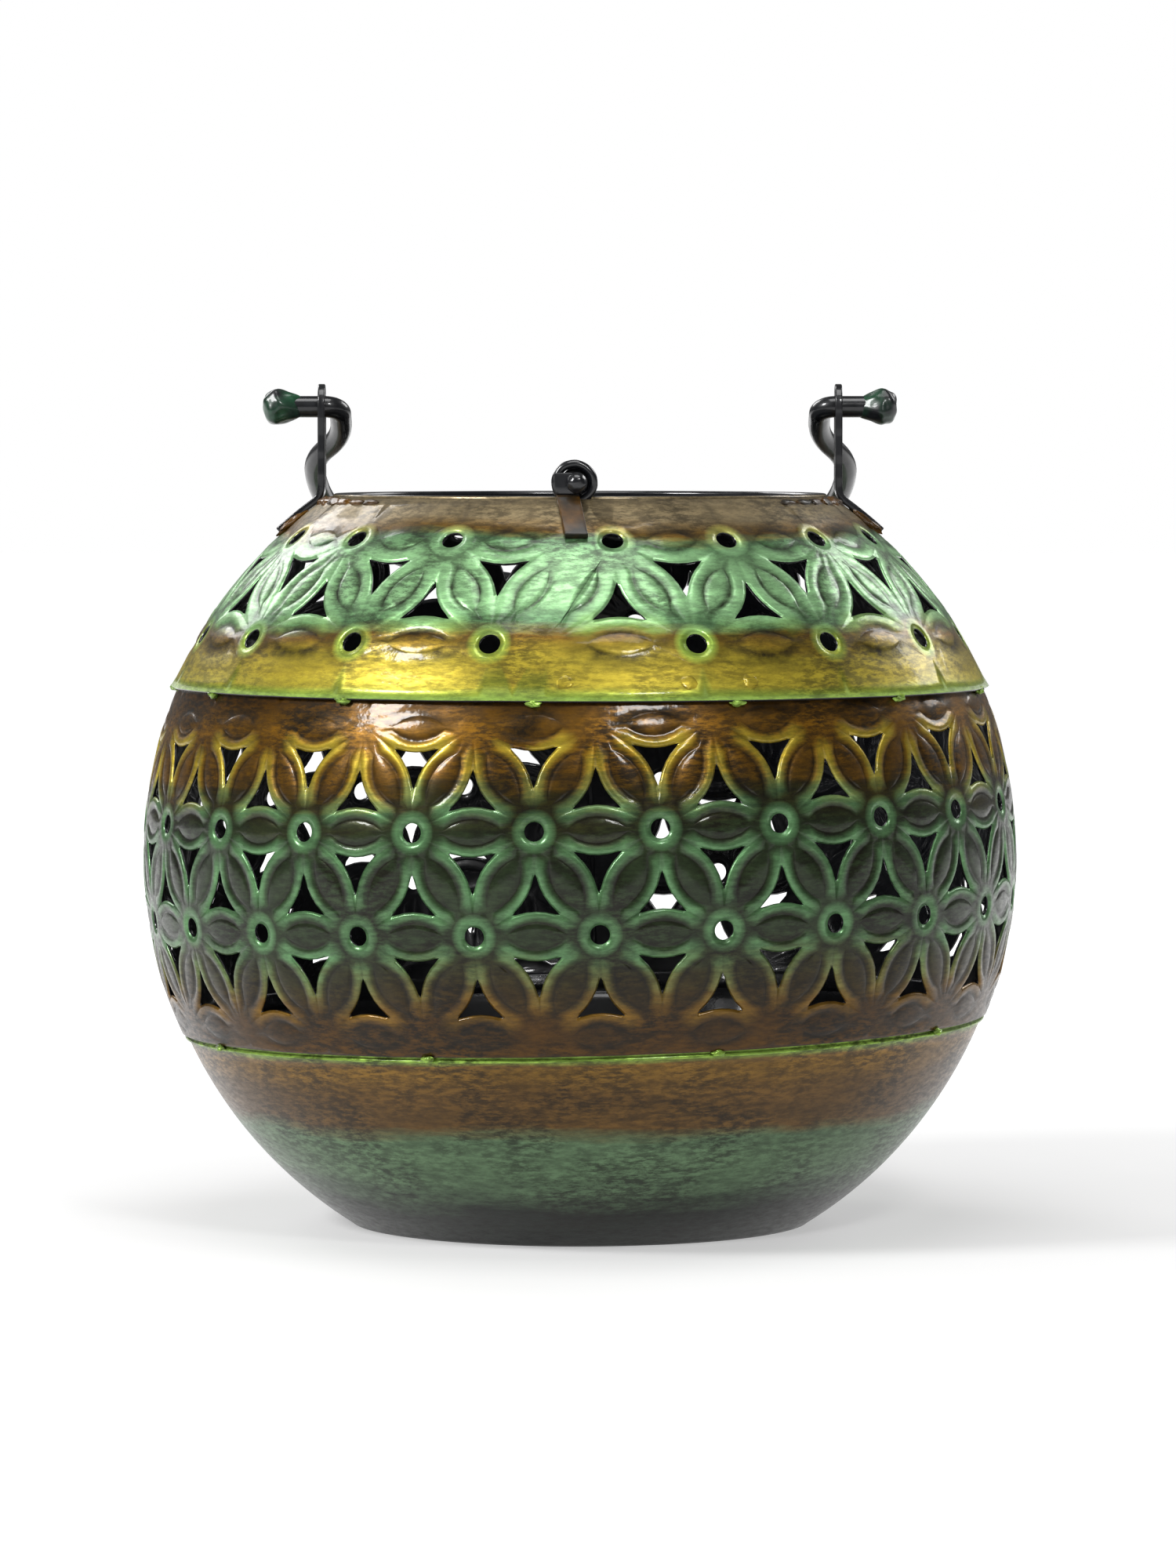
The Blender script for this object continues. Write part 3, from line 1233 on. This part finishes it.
def build_wick(surface):
    """The plaited wick, bent over a little above the wax's surface"""
    lo, hi = (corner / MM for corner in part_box("wick"))
    bm = bmesh.new()
    ring = bmesh.ops.create_circle(bm, cap_ends=True, segments=14, radius=hi.x)["verts"]
    bmesh.ops.translate(bm, vec=(0, 0, lo.z), verts=ring)
    end = draw_out(bm, list(bm.edges), (0, 0, hi.z - lo.z), 60)
    bmesh.ops.contextual_create(bm, geom=end)
    bmesh.ops.recalc_face_normals(bm, faces=bm.faces)
    for v in bm.verts:
        around = math.atan2(v.co.y, v.co.x)
        plait = 0.9 + 0.10 * math.cos(2 * around + 2.2 * v.co.z)
        free = max(0.0, v.co.z - surface)
        v.co.x = v.co.x * plait + 0.035 * free * free
        v.co.y = v.co.y * plait + 0.012 * free * free
        v.co.z -= 0.010 * free * free
    make_piece("plaited_wick", bm, [cotton_finish()], "tealight", ["wick"])


# Stage

def floor_finish():
    """White studio floor, which glows a little further out so that it stays white there"""
    material, tree, shader, place = new_material("floor_white")
    tone = blend_colours(tree, grain(tree, place, 3.0), (0.41, 0.41, 0.41, 1), (0.43, 0.43, 0.43, 1))
    feed(tree, shader, tone)
    away = node(tree, "ShaderNodeVectorMath", {0: place}, operation="LENGTH").outputs["Value"]
    tree.links.new(remap(tree, away, 0.07, 0.60, 0.45, 0.95), shader.inputs["Emission Strength"])
    shader.inputs["Emission Color"].default_value = (1, 1, 1, 1)
    shader.inputs["Roughness"].default_value = 0.5
    return material


def studio_world():
    """White background, which lights the lantern only faintly"""
    world = bpy.data.worlds.new("studio")
    world.use_nodes = True
    tree = world.node_tree
    seen = node(tree, "ShaderNodeLightPath").outputs["Is Camera Ray"]
    background = tree.nodes["Background"]
    background.inputs["Color"].default_value = (1, 1, 1, 1)
    tree.links.new(remap(tree, seen, 0.0, 1.0, 0.12, 1.0), background.inputs["Strength"])
    return world


def add_light(name, azimuth, height, distance, size, power):
    """A square soft light that faces the lantern, from an azimuth and a height in degrees"""
    aim = Vector((0, 0, 0.07))
    way = ball_point(math.radians(azimuth), math.radians(height), 1.0, 0.0)
    data = bpy.data.lights.new(name, "AREA")
    data.shape = "SQUARE"
    data.size = size
    data.energy = power
    lamp = bpy.data.objects.new(name, data)
    bpy.context.scene.collection.objects.link(lamp)
    lamp.location = aim + way * distance
    lamp.rotation_euler = way.to_track_quat("Z", "Y").to_euler()


def build_stage():
    """Pale floor, soft studio light and the camera"""
    scene = bpy.context.scene
    bm = bmesh.new()
    bmesh.ops.create_grid(bm, x_segments=1, y_segments=1, size=6.0)
    mesh = bpy.data.meshes.new("floor")
    bm.to_mesh(mesh)
    bm.free()
    mesh.materials.append(floor_finish())
    floor = bpy.data.objects.new("floor", mesh)
    scene.collection.objects.link(floor)

    scene.world = studio_world()
    for lamp in (
        ("key_left", -58, 36, 1.0, 0.24, 9.0),
        ("key_right", 20, 38, 1.1, 0.18, 4.0),
        ("overhead", 0, 80, 1.1, 0.60, 6.0),
        ("rear_left", -145, 32, 1.2, 0.45, 4.0),
        ("rear_right", 130, 30, 1.2, 0.45, 4.0),
    ):
        add_light(*lamp)

    camera_place = (0.00136, -1.160, 0.137)
    camera_dip = 3.05
    data = bpy.data.cameras.new("camera")
    data.lens = 155.0
    data.sensor_width = 36.0
    camera = bpy.data.objects.new("camera", data)
    scene.collection.objects.link(camera)
    camera.location = camera_place
    camera.rotation_euler = (math.radians(90 - camera_dip), 0, 0)
    scene.camera = camera
    scene.view_settings.view_transform = "Standard"


# Operators, panel and registration

class LANTERN_OT_bowl(bpy.types.Operator):
    """Builds the bowl with its bead and flat foot"""

    bl_idname = "lantern.bowl"
    bl_label = "Bowl"

    def execute(self, context):
        build_bowl(shape())
        return {"FINISHED"}


class LANTERN_OT_band(bpy.types.Operator):
    """Builds the pierced band"""

    bl_idname = "lantern.band"
    bl_label = "Band"

    def execute(self, context):
        build_band(shape())
        return {"FINISHED"}


class LANTERN_OT_dome(bpy.types.Operator):
    """Builds the pierced dome and the hem round its mouth"""

    bl_idname = "lantern.dome"
    bl_label = "Dome"

    def execute(self, context):
        build_dome(shape())
        return {"FINISHED"}


class LANTERN_OT_welds(bpy.types.Operator):
    """Builds the weld beads of the seams"""

    bl_idname = "lantern.welds"
    bl_label = "Seam welds"

    def execute(self, context):
        build_welds(shape())
        return {"FINISHED"}


class LANTERN_OT_lugs(bpy.types.Operator):
    """Builds the two lugs and the beads along their legs"""

    bl_idname = "lantern.lugs"
    bl_label = "Lugs"

    def execute(self, context):
        build_lugs(shape())
        return {"FINISHED"}


class LANTERN_OT_handle(bpy.types.Operator):
    """Builds the wire handle and its two knobs"""

    bl_idname = "lantern.handle"
    bl_label = "Handle"

    def execute(self, context):
        build_handle(shape())
        return {"FINISHED"}


class LANTERN_OT_catch(bpy.types.Operator):
    """Builds the catch strip, its eye, stud and braze"""

    bl_idname = "lantern.catch"
    bl_label = "Catch"

    def execute(self, context):
        build_catch(shape())
        return {"FINISHED"}


class LANTERN_OT_candle_cup(bpy.types.Operator):
    """Builds the seat for the tealight"""

    bl_idname = "lantern.candle_cup"
    bl_label = "Candle cup"

    def execute(self, context):
        build_candle_cup(shape())
        return {"FINISHED"}


class LANTERN_OT_tealight(bpy.types.Operator):
    """Builds the tealight's cup, wax, tab and wick"""

    bl_idname = "lantern.tealight"
    bl_label = "Tealight"

    def execute(self, context):
        build_tealight()
        return {"FINISHED"}


class LANTERN_OT_stage(bpy.types.Operator):
    """Sets up the floor, the lights and the camera"""

    bl_idname = "lantern.stage"
    bl_label = "Stage"

    def execute(self, context):
        build_stage()
        return {"FINISHED"}


OPERATORS = [
    LANTERN_OT_bowl,
    LANTERN_OT_band,
    LANTERN_OT_dome,
    LANTERN_OT_welds,
    LANTERN_OT_lugs,
    LANTERN_OT_handle,
    LANTERN_OT_catch,
    LANTERN_OT_candle_cup,
    LANTERN_OT_tealight,
    LANTERN_OT_stage,
]


class LANTERN_PT_panel(bpy.types.Panel):
    """Lists the lantern's pieces, sizes and colours"""

    bl_label = "Lantern"
    bl_idname = "LANTERN_PT_panel"
    bl_space_type = "VIEW_3D"
    bl_region_type = "UI"
    bl_category = "Lantern"

    def draw(self, context):
        column = self.layout.column()
        for made in OPERATORS:
            column.operator(made.bl_idname)
        for group in (context.scene.lantern_sizes, context.scene.lantern_colours):
            for key in group.__annotations__:
                column.prop(group, key)


CLASSES = [LanternSizes, LanternColours, *OPERATORS, LANTERN_PT_panel]


def register():
    for cls in CLASSES:
        bpy.utils.register_class(cls)
    bpy.types.Scene.lantern_sizes = PointerProperty(type=LanternSizes)
    bpy.types.Scene.lantern_colours = PointerProperty(type=LanternColours)


def unregister():
    del bpy.types.Scene.lantern_colours
    del bpy.types.Scene.lantern_sizes
    for cls in reversed(CLASSES):
        bpy.utils.unregister_class(cls)


def main():
    """Builds everything in order"""
    noise.seed_set(NOISE_SEED)
    register()
    for made in OPERATORS:
        getattr(bpy.ops.lantern, made.bl_idname.split(".")[1])()


if __name__ == "__main__":
    main()
